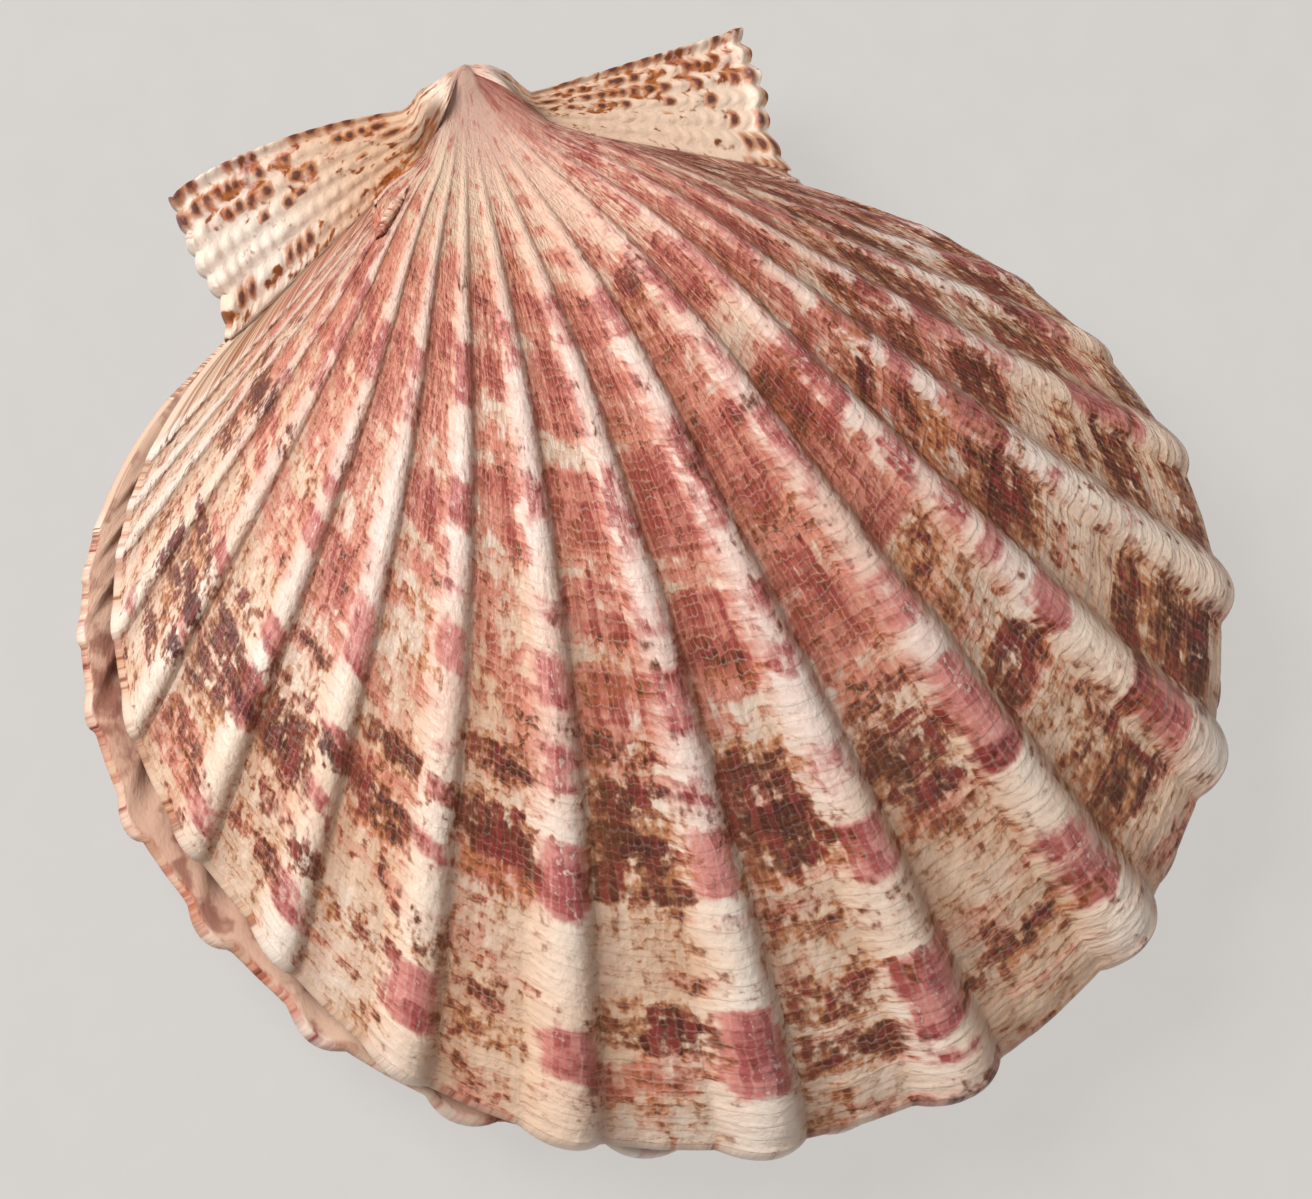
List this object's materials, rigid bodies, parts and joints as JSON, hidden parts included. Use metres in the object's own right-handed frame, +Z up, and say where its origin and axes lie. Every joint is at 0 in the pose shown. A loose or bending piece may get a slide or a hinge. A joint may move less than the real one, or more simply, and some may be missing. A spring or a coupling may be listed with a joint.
{
  "type": "queen scallop shell",
  "caption": "Closed pair of ribbed queen scallop valves with two ears at the hinge, lying on the lower valve.",
  "frame": {"origin": "middle of the underside of the shell's bounding box", "axes": "+X along the hinge, +Y from the open edge to the hinge, +Z up, away from the surface it lies on"},
  "size_m": [0.0788, 0.0752, 0.0209],
  "materials": {
    "upper_shell": "satin",
    "lower_shell": "satin",
    "ligament": "matte"
  },
  "bodies": {
    "root": {"upper_valve": "upper_shell", "lower_valve": "lower_shell", "hinge_ligament": "ligament"}
  },
  "joints": []
}
